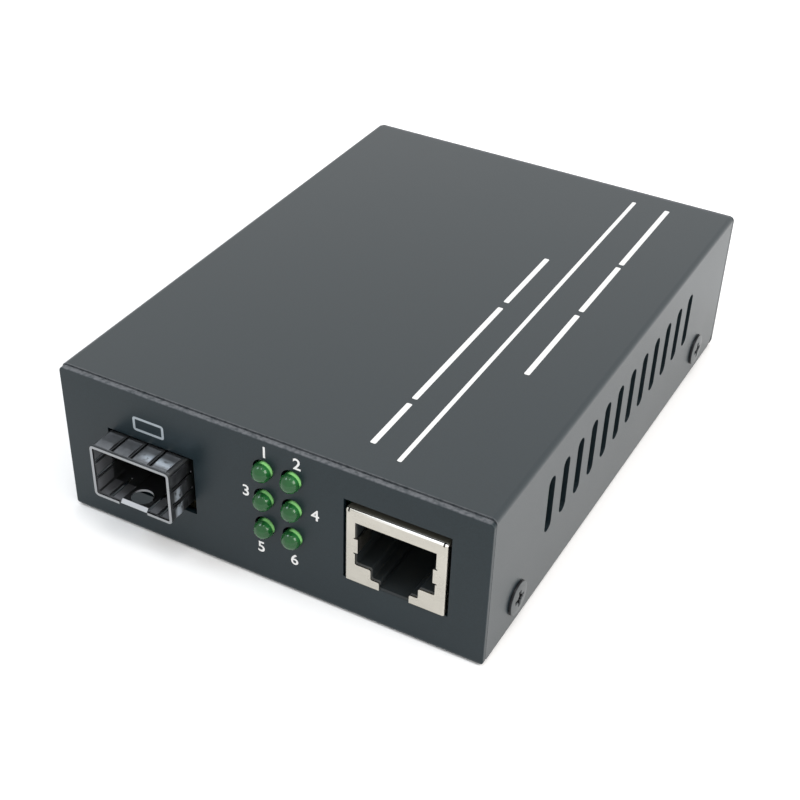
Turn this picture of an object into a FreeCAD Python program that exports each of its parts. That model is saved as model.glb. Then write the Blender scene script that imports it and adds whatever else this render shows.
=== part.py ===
import FreeCAD, Part
import math
import os

# Network media converter: a transceiver cage, six lamps and an RJ45 jack in a folded steel case.
# Millimetres. +Z is up, the front panel faces -Y, and the origin is the centre of the underside.

# Case
case_width = 71.3
case_depth = 97.0
headroom = 6.35           # from the top of the RJ45 jack to the top of the cover
sheet = 0.8               # thickness of the steel sheet
inside_bend = 0.1         # inside radius of every fold
panel_drop = 0.25         # the panels stop this far below the top of the cover
panel_corner = 0.9        # corner radius of the panels, seen from the front
panel_edge = 0.2          # rounding of the front panel's outer edge
cover_end_gap = 0.1       # between each end of the cover and a panel
cover_side_gap = 0.15     # between the cover's sides and the base's flanges
cover_lift = 0.6          # the cover's lower edges stay this far above the table
cover_front_corner = 0.5  # lower corners of the cover's sides
cover_rear_corner = 2.0
flange_height = 8.5       # the base's side flanges, above the table
flange_relief = 3.0       # corner notch between a flange and a panel

# Vent slots in both sides of the cover
slot_width = 2.3
slot_length = 10.0
slot_pitch = 5.2
slot_bottom = 10.7        # lower end, above the table
slot_margin = 19.0        # least distance from a slot to a panel's outer face

# Cover screws
cover_screw_height = 5.15
cover_screw_inset = 10.4  # from the front panel's outer face
rear_screw_inset = 11.5   # from the rear panel's outer face
cover_screw_r = 1.5
cover_head_r = 2.75
cover_head_height = 0.6
cover_hole_gap = 0.2
thread_gap = 0.05         # between a thread and its hole
screw_reach = 1.25        # the tips pass the flanges by this much

# Cross recess and rim of every screw head
recess_width = 0.6
recess_length_share = 0.8  # recess length over head radius
recess_depth = 0.5
head_rim = 0.45

# Circuit board and its posts
board_thickness = 1.6
board_end_gap = 2.4       # between the board and the panels
board_edge_gap = 0.5      # between the board's sides and the cover screws' tips
board_corner = 1.0
post_height = 4.75
post_r = 2.5
post_shank_r = 1.9        # pressed into the base
press_gap = 0.02
post_inset = 2.45         # from the board's sides
rear_post_inset = 10.0    # from the rear panel's outer face
board_screw_r = 1.25
board_screw_length = 5.0
board_head_r = 2.25
board_head_height = 1.6
board_hole_gap = 0.1
head_gap = 0.15           # between a board screw's head and a port
pin_reach = 0.8           # soldered pins pass the board by this much
pin_hole_gap = 0.12

# RJ45 jack
rj45_width = 15.9
rj45_height = 13.0
rj45_depth = 15.6
rj45_proud = 0.3          # its face in front of the panel
rj45_inset = 2.8          # from the board's right side
rj45_sheet = 0.25
rj45_edge = 0.35
rj45_gap_side = 0.45      # around the jack in the panel
rj45_gap_top = 1.2
rj45_gap_bottom = 0.1
opening_width = 12.7      # widest part of the stepped opening
opening_top = 10.9        # above the board, as are the next two
opening_bottom = 3.2
step_height = 1.4
step_width = 7.6
latch_width = 4.8         # narrowest part, open at the bottom
opening_corner = 0.3
tab_reach = 0.42          # sprung tabs at both sides of the opening
tab_low = 5.4
tab_height = 2.5
tab_depth = 4.0
tab_notch = 0.22
fold_slit = 0.25          # open slits at the top corners of the shield's face
fold_slit_inset = 0.45    # from the shield's sides
fold_slit_height = 0.5
fold_slit_depth = 0.6
cavity_depth = 11.5
housing_gap = 0.05
housing_floor = 0.5       # under the latch channel
peg_r = 1.6               # locating pegs of the housing
peg_spread = 11.4
peg_back = 8.9            # behind the jack's face
shield_pin_width = 1.6
shield_pin_back = 6.0

# Spring wires of the jack
wire_count = 8
wire_pitch = 1.02
wire_width = 0.4
wire_thickness = 0.3
wire_drop = 3.3           # free ends hang this far below the top of the opening
wire_free_end = 9.6       # behind the jack's face
wire_turn = 1.7
wire_loop = 0.6           # half the height of the front turn
wire_slot = 0.5           # height of the slot that holds the wires
wire_tail_back = 0.45     # from the rear of the housing

# Transceiver cage
cage_width = 13.8
cage_height = 9.0
cage_length = 48.5
cage_proud = 4.5          # its mouth in front of the panel
cage_lift = 1.55          # its floor above the board
cage_sheet = 0.15
cage_corner = 0.55
cage_gap_left = 0.3       # around the cage in the panel, as are the next three
cage_gap_right = 1.25
cage_gap_top = 0.35
cage_gap_bottom = 1.0
skirt_gap = 0.4           # skirts start this far behind the board's front edge
cage_pin_width = 0.9
cage_pin_count = 5
cage_pin_margin = 2.0
wall_slot_width = 0.35    # slots behind the gaps between the collar's fingers
wall_slot_margin = 0.1    # behind the collar's band
wall_slot_end = 1.0       # behind the panel's face

# Latch tongue in the cage's floor
tongue_width = 4.7
tongue_length = 11.0
tongue_slit = 0.2
tongue_rise = 0.5
tongue_crest = 0.5        # behind the mouth
tongue_flat = 2.5
latch_r = 1.7             # round rear end of the catch hole
latch_front = 1.4         # behind the mouth, as is the next
latch_back = 3.9
latch_lip = 0.12          # drawn edge around the round end

# Sprung collar on the cage's mouth
collar_sheet = 0.15
collar_band = 0.35
finger_gap = 0.9
finger_rise = 1.5         # length of a finger's curved front
finger_bow = 0.12         # height of its crest
inner_bow = 0.05          # the same for the fingers inside the mouth
finger_foot = 0.4         # level end that lies on the cage
finger_end_gap = 0.5      # the fingers stop short of the panel
top_finger_count = 4
side_finger_count = 3
bottom_finger_count = 2   # on each side of the tongue

# Connector inside the cage
connector_width = 10.8
connector_depth = 8.6
connector_height = 5.8
connector_back = 2.4      # from the cage's rear wall
card_slot_width = 9.4
card_slot_height = 1.3
card_slot_depth = 5.0
card_slot_lift = 3.4      # middle of the slot, above the board
contact_count = 10        # in each of two rows
contact_pitch = 0.8
contact_width = 0.35
contact_thickness = 0.2
contact_foot = 1.3
contact_leg_front = 1.6
contact_leg_rear = 3.0
connector_gap = 0.6       # around it in the cage's floor

# Indicator lamps
led_r = 1.5
led_flange_r = 1.9
led_flange = 1.0
led_length = 5.3
led_proud = 2.0           # tips in front of the panel
led_hole_gap = 0.2
led_sag_share = 0.6       # the lamps sit low and right in their holes by this share of the gap
led_column_count = 2
led_row_count = 3
led_gap_x = 0.9           # between neighbouring flanges
led_gap_z = 1.4
led_base = 3.4            # lowest row, above the board
led_to_jack = 11.13       # from the middle of the lamps to the jack
lead_pitch = 2.54
lead_size = 0.5
lead_gap = 0.9            # from the holder to the first bend
lead_step = 2.4           # from row to row
holder_depth = 4.0
holder_margin = 0.5       # outside the flanges
holder_hole_gap = 0.1

# Power inlet in the rear panel
inlet_from_edge = 12.15   # its axis, from the board's right side
inlet_width = 9.0
inlet_height = 10.8
inlet_length = 14.3
inlet_collar = 3.3
inlet_body_width = 8.0
inlet_axis = 6.4          # above the board
inlet_bore_r = 3.2
inlet_bore_depth = 9.5
inlet_proud = 0.3
inlet_gap = 0.35
inlet_corner = 0.5
inlet_pin_r = 1.0
inlet_pin_back = 1.0      # tip behind the inlet's face
inlet_terminal = 0.4
inlet_terminal_width = 2.6
inlet_spring = 0.3
inlet_spring_width = 1.8
inlet_spring_rise = 0.5   # into the bore
inlet_spring_front = 5.2  # behind the inlet's face
inlet_spring_back = 8.2

# Parts on the board
solder_lift = 0.1         # leads' middle above the board
magnetics_size = (17.5, 7.1, 5.8)
magnetics_behind = 5.5    # behind the jack
magnetics_shift = 3.6     # towards the middle of the board
magnetics_lead_count = 12
magnetics_pitch = 1.27
chip_size = (14.0, 14.0, 1.4)
chip_back = 42.0          # behind the front panel
chip_lead_count = 12
chip_pitch = 1.0
lead_foot = 0.8
lead_shoulder = 0.5
lead_width = 0.4
lead_thickness = 0.2
body_lift = 0.15          # chip bodies above the board
crystal_size = (4.6, 11.0, 3.5)
crystal_from_chip = 7.7   # from the chip's leads
capacitor_count = 2
capacitor_r = 3.15
capacitor_height = 11.0
capacitor_edge = 0.5
capacitor_from_inlet = 11.0
capacitor_pitch = 8.5
capacitor_back = 10.0     # first one, in front of the rear panel
inductor_size = (7.3, 7.3, 4.2)
inductor_chamfer = 1.2
inductor_from_inlet = 22.0
inductor_back = 12.0
regulator_size = (6.5, 3.5, 1.6)
regulator_tab_width = 3.0
regulator_pitch = 2.3
regulator_back = 24.0
resistor_size = (0.8, 1.6, 0.45)
resistor_count = 6
resistor_pitch = 2.2
resistor_from_chip = 3.7  # from the chip's leads
chip_capacitor_size = (1.25, 2.0, 1.1)
chip_capacitor_count = 5
chip_capacitor_pitch = 2.6
chip_capacitor_from_chip = 3.7

# Levels and places that follow from the sizes above
front = -case_depth / 2
rear = case_depth / 2
side = case_width / 2
bend = inside_bend + sheet
board_bottom = sheet + post_height
board_top = board_bottom + board_thickness
case_height = board_top + rj45_height + headroom
panel_top = case_height - panel_drop
flange_outer = side - sheet - cover_side_gap
flange_inner = flange_outer - sheet
board_half = flange_inner - screw_reach - board_edge_gap
board_front = front + sheet + board_end_gap
board_rear = rear - sheet - board_end_gap
past = 2.0                # cutters pass the surface by this much

jack_face = front - rj45_proud
jack_back = jack_face + rj45_depth
jack_right = board_half - rj45_inset
jack_left = jack_right - rj45_width
jack_x = (jack_left + jack_right) / 2
jack_top = board_top + rj45_height
cavity_top = board_top + opening_top
housing_back = jack_back - rj45_sheet - housing_gap

post_x = board_half - post_inset
front_post_y = jack_back + head_gap + board_head_r
rear_post_y = rear - rear_post_inset
post_places = [(x, y) for x in (-post_x, post_x) for y in (front_post_y, rear_post_y)]

cage_left = -post_x + board_head_r + head_gap
cage_right = cage_left + cage_width
cage_x = (cage_left + cage_right) / 2
cage_mouth = front - cage_proud
cage_back = cage_mouth + cage_length
cage_bottom = board_top + cage_lift
cage_top = cage_bottom + cage_height
skirt_front = board_front + skirt_gap
connector_rear = cage_back - cage_sheet - connector_back
connector_front = connector_rear - connector_depth

led_back = front - led_proud + led_length
led_pitch_x = 2 * led_flange_r + led_gap_x
led_pitch_z = 2 * led_flange_r + led_gap_z
led_middle = jack_left - led_to_jack
holder_back = led_back + holder_depth

inlet_x = board_half - inlet_from_edge
inlet_face = rear + inlet_proud
inlet_back = inlet_face - inlet_length
inlet_z = board_top + inlet_axis
chip_y = front + chip_back
chip_reach = chip_size[0] / 2 + lead_shoulder + lead_foot
magnetics_x = jack_x - magnetics_shift
magnetics_y = jack_back + magnetics_behind + magnetics_size[1] / 2


def vec(x, y, z):
    return FreeCAD.Vector(x, y, z)


def block(x_span, y_span, z_span):
    """Box between the low and high values of three spans."""
    size = [high - low for low, high in (x_span, y_span, z_span)]
    return Part.makeBox(size[0], size[1], size[2], vec(x_span[0], y_span[0], z_span[0]))


def about(middle, width):
    """Span of a width about its middle."""
    return (middle - width / 2, middle + width / 2)


def rod(radius, start, end):
    """Cylinder between two points."""
    axis = vec(*end) - vec(*start)
    return Part.makeCylinder(radius, axis.Length, vec(*start), axis)


def edges_along(shape, axis, test):
    """Straight edges parallel to an axis (0, 1 or 2) whose middle point passes a test."""
    found = []
    for edge in shape.Edges:
        straight = edge.Curve.TypeId == "Part::GeomLine"
        if straight and abs(abs(edge.tangentAt(edge.FirstParameter)[axis]) - 1) < 1e-6:
            if test(edge.CenterOfMass):
                found.append(edge)
    return found


def rounded(shape, radius, axis, test=lambda point: True):
    """Shape with its edges along an axis rounded, where the test picks them."""
    return shape.makeFillet(radius, edges_along(shape, axis, test))


def prism(points, along):
    """Polygon carried along a vector."""
    outline = [vec(*point) for point in points]
    return Part.Face(Part.makePolygon(outline + outline[:1])).extrude(along)


def bent_strip(path, thickness, x_span):
    """Strip of sheet or wire that follows (y, z) points with mitred bends, across a span of x."""
    normals = []
    for (y0, z0), (y1, z1) in zip(path, path[1:]):
        length = math.hypot(y1 - y0, z1 - z0)
        normals.append(((z0 - z1) / length, (y1 - y0) / length))
    pairs = list(zip(normals[:1] + normals, normals + normals[-1:]))
    offsets = []
    for (ay, az), (by, bz) in pairs:
        reach = thickness / 2 / (1 + ay * by + az * bz)
        offsets.append(((ay + by) * reach, (az + bz) * reach))
    one_side = [(x_span[0], y + dy, z + dz) for (y, z), (dy, dz) in zip(path, offsets)]
    other_side = [(x_span[0], y - dy, z - dz) for (y, z), (dy, dz) in zip(path, offsets)]
    return prism(one_side + other_side[::-1], vec(x_span[1] - x_span[0], 0, 0))


def obround(y, z_span, width, x_span):
    """Upright slot with round ends, cut along X."""
    r = width / 2
    low = z_span[0] + r
    high = z_span[1] - r
    x = x_span[0]
    corners = [vec(x, y - r, low), vec(x, y - r, high), vec(x, y + r, high), vec(x, y + r, low)]
    edges = [
        Part.LineSegment(corners[0], corners[1]).toShape(),
        Part.Arc(corners[1], vec(x, y, z_span[1]), corners[2]).toShape(),
        Part.LineSegment(corners[2], corners[3]).toShape(),
        Part.Arc(corners[3], vec(x, y, z_span[0]), corners[0]).toShape(),
    ]
    return Part.Face(Part.Wire(edges)).extrude(vec(x_span[1] - x, 0, 0))


def turned_profile(lines, arc, close_to):
    """Solid of revolution about Z from (radius, height) points, one arc and the axis."""
    edges = []
    for (r0, z0), (r1, z1) in zip(lines, lines[1:]):
        edges.append(Part.LineSegment(vec(r0, 0, z0), vec(r1, 0, z1)).toShape())
    points = [vec(r, 0, z) for r, z in (lines[-1], arc, close_to)]
    edges.append(Part.Arc(points[0], points[1], points[2]).toShape())
    edges.append(Part.LineSegment(points[2], vec(lines[0][0], 0, lines[0][1])).toShape())
    face = Part.Face(Part.Wire(edges))
    return face.revolve(vec(0, 0, 0), vec(0, 0, 1), 360)


def placed(shape, point, direction):
    """Copy of a shape with its +Z turned to a direction and its origin moved to a point."""
    turn = FreeCAD.Rotation(vec(0, 0, 1), vec(*direction))
    copy = shape.copy()
    copy.Placement = FreeCAD.Placement(vec(*point), turn)
    return copy


def screw(head_r, head_height, shank_r, shank_length):
    """Cross-head screw on Z, its domed head above the seat at zero."""
    crown = head_height - head_rim
    sphere_r = (head_r ** 2 + crown ** 2) / (2 * crown)
    half = head_r / 2
    arc = (half, head_height - sphere_r + math.sqrt(sphere_r ** 2 - half ** 2))
    lines = [(0, -shank_length), (shank_r, -shank_length), (shank_r, 0), (head_r, 0), (head_r, head_rim)]
    body = turned_profile(lines, arc, (0, head_height))
    depth = (head_height - recess_depth, head_height + past)
    long_way = about(0, recess_length_share * head_r)
    short_way = about(0, recess_width)
    return body.cut([block(long_way, short_way, depth), block(short_way, long_way, depth)])


def folded_channel(x_span, y_span, z_span, bend_axis, opens_up):
    """Sheet folded to a channel whose two bends run along an axis and whose open side is up or down."""
    fold_z, open_z = (z_span[0], z_span[1]) if opens_up else (z_span[1], z_span[0])
    at_fold = lambda point: abs(point.z - fold_z) < 1e-6
    outer = rounded(block(x_span, y_span, z_span), bend, bend_axis, at_fold)
    step = sheet if opens_up else -sheet
    inner_fold = fold_z + step
    inner_open = open_z + (past if opens_up else -past)
    inner_z = (min(inner_fold, inner_open), max(inner_fold, inner_open))
    inset_x = -past if bend_axis == 0 else sheet
    inset_y = -past if bend_axis == 1 else sheet
    inner_x = (x_span[0] + inset_x, x_span[1] - inset_x)
    inner_y = (y_span[0] + inset_y, y_span[1] - inset_y)
    at_inner_fold = lambda point: abs(point.z - inner_fold) < 1e-6
    inner = rounded(block(inner_x, inner_y, inner_z), inside_bend, bend_axis, at_inner_fold)
    return outer.cut(inner)


def cover_screw_places():
    """Points on the cover's outer sides, and the way each head faces."""
    ends = (front + cover_screw_inset, rear - rear_screw_inset)
    return [((way * side, y, cover_screw_height), (way, 0, 0)) for way in (-1, 1) for y in ends]


def make_top_cover():
    """Inverted channel with round-ended vent slots and four screw holes."""
    y_span = (front + sheet + cover_end_gap, rear - sheet - cover_end_gap)
    cover = folded_channel((-side, side), y_span, (cover_lift, case_height), 1, False)
    for corner_r, end in zip((cover_front_corner, cover_rear_corner), y_span):
        at_corner = lambda point: abs(point.z - cover_lift) + abs(point.y - end) < 1e-6
        cover = rounded(cover, corner_r, 0, at_corner)
    count = int((case_depth - 2 * slot_margin) / slot_pitch) + 1
    across = (-side - past, side + past)
    cutters = []
    for i in range(count):
        y = (i - (count - 1) / 2) * slot_pitch
        cutters.append(obround(y, (slot_bottom, slot_bottom + slot_length), slot_width, across))
    hole_r = cover_screw_r + cover_hole_gap
    for (x, y, z), (way, _, _) in cover_screw_places():
        cutters.append(rod(hole_r, (x - way * (sheet + past), y, z), (x + way * past, y, z)))
    return cover.cut(cutters)


def led_places():
    """Middle of each lamp on the panel, row by row from the top left."""
    places = []
    for row in reversed(range(led_row_count)):
        for column in range(led_column_count):
            x = led_middle + (column - (led_column_count - 1) / 2) * led_pitch_x
            places.append((x, board_top + led_base + row * led_pitch_z, row))
    return places


def make_base_chassis():
    """Tray folded from one sheet: bottom, front and rear panels, and two flanges for the cover screws."""
    tray = folded_channel((-side, side), (front, rear), (0, panel_top), 0, True)
    outline = rounded(block((-side, side), (front - past, rear + past), (0, panel_top)), panel_corner, 1)
    tray = tray.common(outline)
    trim = flange_outer - bend
    notch = sheet + cover_end_gap / 2
    for x_span in ((-side - past, -trim), (trim, side + past)):
        tray = tray.cut(block(x_span, (front + notch, rear - notch), (-past, bend)))
    flange_span = (front + flange_relief, rear - flange_relief)
    flanges = folded_channel((-flange_outer, flange_outer), flange_span, (0, flange_height), 1, True)
    base = tray.fuse(flanges).removeSplitter()

    through_front = (front - past, front + sheet + past)
    cutters = [
        block((cage_left - cage_gap_left, cage_right + cage_gap_right), through_front,
              (cage_bottom - cage_gap_bottom, cage_top + cage_gap_top)),
        block((jack_left - rj45_gap_side, jack_right + rj45_gap_side), through_front,
              (board_top - rj45_gap_bottom, jack_top + rj45_gap_top)),
        block(about(inlet_x, inlet_width + 2 * inlet_gap), (rear - sheet - past, rear + past),
              (board_top - inlet_gap, board_top + inlet_height + inlet_gap)),
    ]
    sag = led_sag_share * led_hole_gap
    for lamp_x, lamp_z, _ in led_places():
        x, z = lamp_x - sag, lamp_z + sag
        cutters.append(rod(led_r + led_hole_gap, (x, through_front[0], z), (x, through_front[1], z)))
    for x, y in post_places:
        cutters.append(rod(post_shank_r + press_gap, (x, y, -past), (x, y, sheet + past)))
    for (x, y, z), (way, _, _) in cover_screw_places():
        outside = x + way * past
        inside = way * (flange_inner - past)
        cutters.append(rod(cover_screw_r + thread_gap, (inside, y, z), (outside, y, z)))
    base = base.cut(cutters)
    rim = [edge for edge in base.Edges if is_front_rim(edge)]
    return base.makeFillet(panel_edge, rim)


def is_front_rim(edge):
    """True for the outer edge of the front panel's face, above its lower fold."""
    box = edge.BoundBox
    in_face = abs(box.YMin - front) < 1e-6 and abs(box.YMax - front) < 1e-6
    at_side = side - max(abs(box.XMin), abs(box.XMax)) < 1e-6
    at_top = abs(box.ZMax - panel_top) < 1e-6
    return in_face and (at_side or at_top)


def make_cover_screws():
    shank = sheet + cover_side_gap + sheet + screw_reach
    one = screw(cover_head_r, cover_head_height, cover_screw_r, shank)
    return Part.makeCompound([placed(one, point, way) for point, way in cover_screw_places()])


def make_board_standoffs():
    """Posts pressed into the base, each with a threaded bore."""
    posts = []
    for x, y in post_places:
        post = rod(post_r, (x, y, sheet), (x, y, board_bottom))
        post = post.fuse(rod(post_shank_r, (x, y, press_gap), (x, y, sheet)))
        posts.append(post.cut(rod(board_screw_r + thread_gap, (x, y, -past), (x, y, board_top))))
    return Part.makeCompound(posts)


def make_board_screws():
    one = screw(board_head_r, board_head_height, board_screw_r, board_screw_length)
    return Part.makeCompound([placed(one, (x, y, board_top), (0, 0, 1)) for x, y in post_places])


def wire_places():
    """Middle of each spring wire of the RJ45 jack."""
    return [jack_x + (i - (wire_count - 1) / 2) * wire_pitch for i in range(wire_count)]


def lead_places():
    """Where the lamps' leads bend down: x, y and the height of their lamp."""
    places = []
    for x, z, row in led_places():
        y = holder_back + lead_gap + row * lead_step
        places += [(x - lead_pitch / 2, y, z), (x + lead_pitch / 2, y, z)]
    return places


def cage_pin_places():
    """Middle of each press-in pin along a side of the cage."""
    first = skirt_front + cage_pin_margin
    step = (cage_back - cage_pin_margin - first) / (cage_pin_count - 1)
    return [first + i * step for i in range(cage_pin_count)]


def make_circuit_board():
    """Board with the holes that its posts, pegs, pins and leads need."""
    board = block((-board_half, board_half), (board_front, board_rear), (board_bottom, board_top))
    board = rounded(board, board_corner, 2)
    round_holes = [(board_screw_r + board_hole_gap, x, y) for x, y in post_places]
    peg_y = jack_face + peg_back
    round_holes += [(peg_r + board_hole_gap, x, peg_y) for x in about(jack_x, peg_spread)]
    wire_hole = math.hypot(wire_width, wire_thickness) / 2 + pin_hole_gap
    round_holes += [(wire_hole, x, housing_back - wire_tail_back) for x in wire_places()]
    lead_hole = math.hypot(lead_size, lead_size) / 2 + pin_hole_gap
    round_holes += [(lead_hole, x, y) for x, y, _ in lead_places()]
    cage_hole = math.hypot(cage_pin_width, cage_sheet) / 2 + pin_hole_gap
    wall_middles = (cage_left + cage_sheet / 2, cage_right - cage_sheet / 2)
    round_holes += [(cage_hole, x, y) for x in wall_middles for y in cage_pin_places()]
    through = (board_bottom - past, board_top + past)
    cutters = [rod(r, (x, y, through[0]), (x, y, through[1])) for r, x, y in round_holes]
    gap = 2 * pin_hole_gap
    shield_walls = (jack_left + rj45_sheet / 2, jack_right - rj45_sheet / 2)
    slots = [(x, jack_face + shield_pin_back, rj45_sheet, shield_pin_width) for x in shield_walls]
    slots.append((inlet_x, inlet_back - inlet_terminal / 2, inlet_terminal_width, inlet_terminal))
    slots.append((inlet_x, inlet_face - inlet_spring_back, inlet_spring_width, inlet_spring))
    for x, y, width, depth in slots:
        cutters.append(block(about(x, width + gap), about(y, depth + gap), through))
    return board.cut(cutters)


def jack_opening(depth, floor):
    """Stepped opening of the RJ45 jack as a cutter from in front of its face, above a floor."""
    levels = [floor, board_top + step_height, board_top + opening_bottom, cavity_top]
    halves = [latch_width / 2, step_width / 2, opening_width / 2]
    right = []
    for half, low, high in zip(halves, levels, levels[1:]):
        right += [(jack_x + half, low), (jack_x + half, high)]
    left = [(2 * jack_x - x, z) for x, z in reversed(right)]
    start = jack_face - past
    outline = prism([(x, start, z) for x, z in right + left], vec(0, past + depth, 0))
    lower = lambda point: floor < point.z < cavity_top - opening_corner
    return rounded(outline, opening_corner, 1, lower)


def make_rj45_shield():
    """Folded shield: stepped opening with a sprung tab at each side, slits at the folds and two pins."""
    z_span = (board_top, jack_top)
    shell = block((jack_left, jack_right), (jack_face, jack_back), z_span)
    shell = rounded(shell, rj45_edge, 2)
    shell = rounded(shell, rj45_edge, 1, lambda point: abs(point.z - jack_top) < 1e-6)
    inner = block((jack_left + rj45_sheet, jack_right - rj45_sheet),
                  (jack_face + rj45_sheet, jack_back - rj45_sheet),
                  (board_top - past, jack_top - rj45_sheet))
    shell = shell.cut([inner, jack_opening(rj45_sheet + housing_gap, board_top - past)])
    slit_y = (jack_face - past, jack_face + fold_slit_depth)
    slit_z = (jack_top - fold_slit_height, jack_top + past)
    tab_z = (board_top + tab_low, board_top + tab_low + tab_height)
    pin_y = about(jack_face + shield_pin_back, shield_pin_width)
    for way, wall in ((-1, jack_left), (1, jack_right)):
        edge = jack_x + way * opening_width / 2
        reach = sorted((edge, edge - way * tab_reach))
        leaf = sorted((edge - way * tab_reach, edge - way * (tab_reach - rj45_sheet)))
        notch = sorted((edge, edge + way * tab_notch))
        notch_y = (jack_face - past, jack_face + rj45_sheet)
        for z in (tab_z[0] - tab_notch, tab_z[1]):
            shell = shell.cut(block(notch, notch_y, (z, z + tab_notch)))
        slit_x = about(wall - way * (fold_slit_inset + fold_slit / 2), fold_slit)
        shell = shell.cut(block(slit_x, slit_y, slit_z))
        pin = sorted((wall, wall - way * rj45_sheet))
        shell = shell.fuse([
            block(reach, (jack_face, jack_face + rj45_sheet), tab_z),
            block(leaf, (jack_face + rj45_sheet, jack_face + tab_depth), tab_z),
            block(pin, pin_y, (board_bottom - pin_reach, board_top)),
        ])
    return shell.removeSplitter()


def make_rj45_housing():
    """Moulded body of the jack with its cavity, the slot for the wires and two pegs."""
    x_span = (jack_left + rj45_sheet + housing_gap, jack_right - rj45_sheet - housing_gap)
    z_span = (board_top, jack_top - rj45_sheet - housing_gap)
    body = block(x_span, (jack_face + rj45_sheet, housing_back), z_span)
    slot_x = about(jack_x, wire_count * wire_pitch)
    slot_low = cavity_top + 2 * wire_loop - wire_slot
    slot_high = cavity_top + 2 * wire_loop
    turn = (jack_face + wire_turn - wire_slot, jack_face + wire_turn + wire_loop + wire_slot)
    tail = housing_back - wire_tail_back - wire_slot / 2
    body = body.cut([
        jack_opening(cavity_depth, board_top + housing_floor),
        block(slot_x, turn, (cavity_top - past, slot_high)),
        block(slot_x, (turn[0], housing_back + past), (slot_low, slot_high)),
        block(slot_x, (tail, housing_back + past), (board_top - past, slot_high)),
    ])
    peg_y = jack_face + peg_back
    pegs = [rod(peg_r, (x, peg_y, board_bottom - pin_reach), (x, peg_y, board_top))
            for x in about(jack_x, peg_spread)]
    return body.fuse(pegs)


def make_rj45_contacts():
    """Spring wires: a free end in the cavity, a turn at the front, and a tail through the board."""
    level = cavity_top + 2 * wire_loop - wire_slot / 2
    turn = jack_face + wire_turn
    tail = housing_back - wire_tail_back
    path = [
        (jack_face + wire_free_end, cavity_top - wire_drop),
        (turn + wire_loop, level - 2 * wire_loop),
        (turn, level - wire_loop),
        (turn + wire_loop, level),
        (tail, level),
        (tail, board_bottom - pin_reach),
    ]
    wires = [bent_strip(path, wire_thickness, about(x, wire_width)) for x in wire_places()]
    return Part.makeCompound(wires)


def cage_block(inset, y_span):
    """The cage's outline less an inset all round, over a span of y, with rounded edges."""
    x_span = (cage_left + inset, cage_right - inset)
    z_span = (cage_bottom + inset, cage_top - inset)
    return rounded(block(x_span, y_span, z_span), cage_corner - inset, 1)


def make_sfp_cage():
    """Folded cage: slotted mouth, latch tongue, skirts down to the board and press-in pins."""
    cage = cage_block(0, (cage_mouth, cage_back))
    cage = cage.cut(cage_block(cage_sheet, (cage_mouth - past, cage_back - cage_sheet)))
    floor_z = (cage_bottom - past, cage_bottom + cage_sheet)
    tongue_root = cage_mouth + tongue_length
    room = tongue_width + 2 * tongue_slit
    cutters = [
        block(about(cage_x, room), (cage_mouth - past, tongue_root), floor_z),
        block(about(cage_x, connector_width + 2 * connector_gap),
              (connector_front - contact_foot - connector_gap, cage_back - cage_sheet), floor_z),
    ]
    cage = cage.cut(cutters + wall_slots())
    pieces = [make_tongue(tongue_root)]
    for wall in ((cage_left, cage_left + cage_sheet), (cage_right - cage_sheet, cage_right)):
        pieces.append(block(wall, (skirt_front, cage_back), (board_top, cage_bottom + cage_corner)))
        for y in cage_pin_places():
            pieces.append(block(wall, about(y, cage_pin_width), (board_bottom - pin_reach, board_top)))
    return cage.fuse(pieces).removeSplitter()


def make_tongue(root):
    """Latch tongue: level at its root, rising towards the mouth, with a lip and a round-ended catch hole."""
    level = cage_bottom + cage_sheet / 2
    foot = root - tongue_flat
    crest = cage_mouth + tongue_crest
    path = [(root, level), (foot, level), (crest, level + tongue_rise), (cage_mouth, level)]
    strip = bent_strip(path, cage_sheet, about(cage_x, tongue_width))
    hole_back = cage_mouth + latch_back
    middle = hole_back - latch_r
    low = level + tongue_rise * (foot - hole_back) / (foot - crest)
    high = level + tongue_rise + latch_lip
    lip = rod(latch_r + cage_sheet, (cage_x, middle, low), (cage_x, middle, high))
    lip = lip.cut(block(about(cage_x, tongue_width), (cage_mouth, middle), (low - past, high + past)))
    hole_z = (cage_bottom - past, high + past)
    return strip.fuse(lip).cut([
        rod(latch_r, (cage_x, middle, hole_z[0]), (cage_x, middle, hole_z[1])),
        block(about(cage_x, 2 * latch_r), (cage_mouth + latch_front, middle), hole_z),
    ])


def finger_rows():
    """The way each row of fingers faces, the wall that it lies on, its span and its number of fingers."""
    x_span = (cage_left + cage_corner, cage_right - cage_corner)
    z_span = (cage_bottom + cage_corner, cage_top - cage_corner)
    beside = tongue_width / 2 + tongue_slit
    return [
        ("+z", cage_top, x_span, top_finger_count),
        ("-x", cage_left, z_span, side_finger_count),
        ("+x", cage_right, z_span, side_finger_count),
        ("-z", cage_bottom, (x_span[0], cage_x - beside), bottom_finger_count),
        ("-z", cage_bottom, (cage_x + beside, x_span[1]), bottom_finger_count),
    ]


def spread(span, count):
    """Width and middles of fingers that share a span with gaps between them."""
    width = (span[1] - span[0] - (count - 1) * finger_gap) / count
    return width, [span[0] + width / 2 + i * (width + finger_gap) for i in range(count)]


def wall_slots():
    """Cutters for the slots in the cage's walls, one behind each gap between two fingers."""
    y_span = (cage_mouth + collar_band + wall_slot_margin, front + wall_slot_end)
    cutters = []
    for outward, surface, span, count in finger_rows():
        width, middles = spread(span, count)
        wall = about(surface, past)
        for middle in middles[1:]:
            gap = about(middle - (width + finger_gap) / 2, wall_slot_width)
            x_span, z_span = (gap, wall) if outward[1] == "z" else (wall, gap)
            cutters.append(block(x_span, y_span, z_span))
    return cutters


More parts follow.
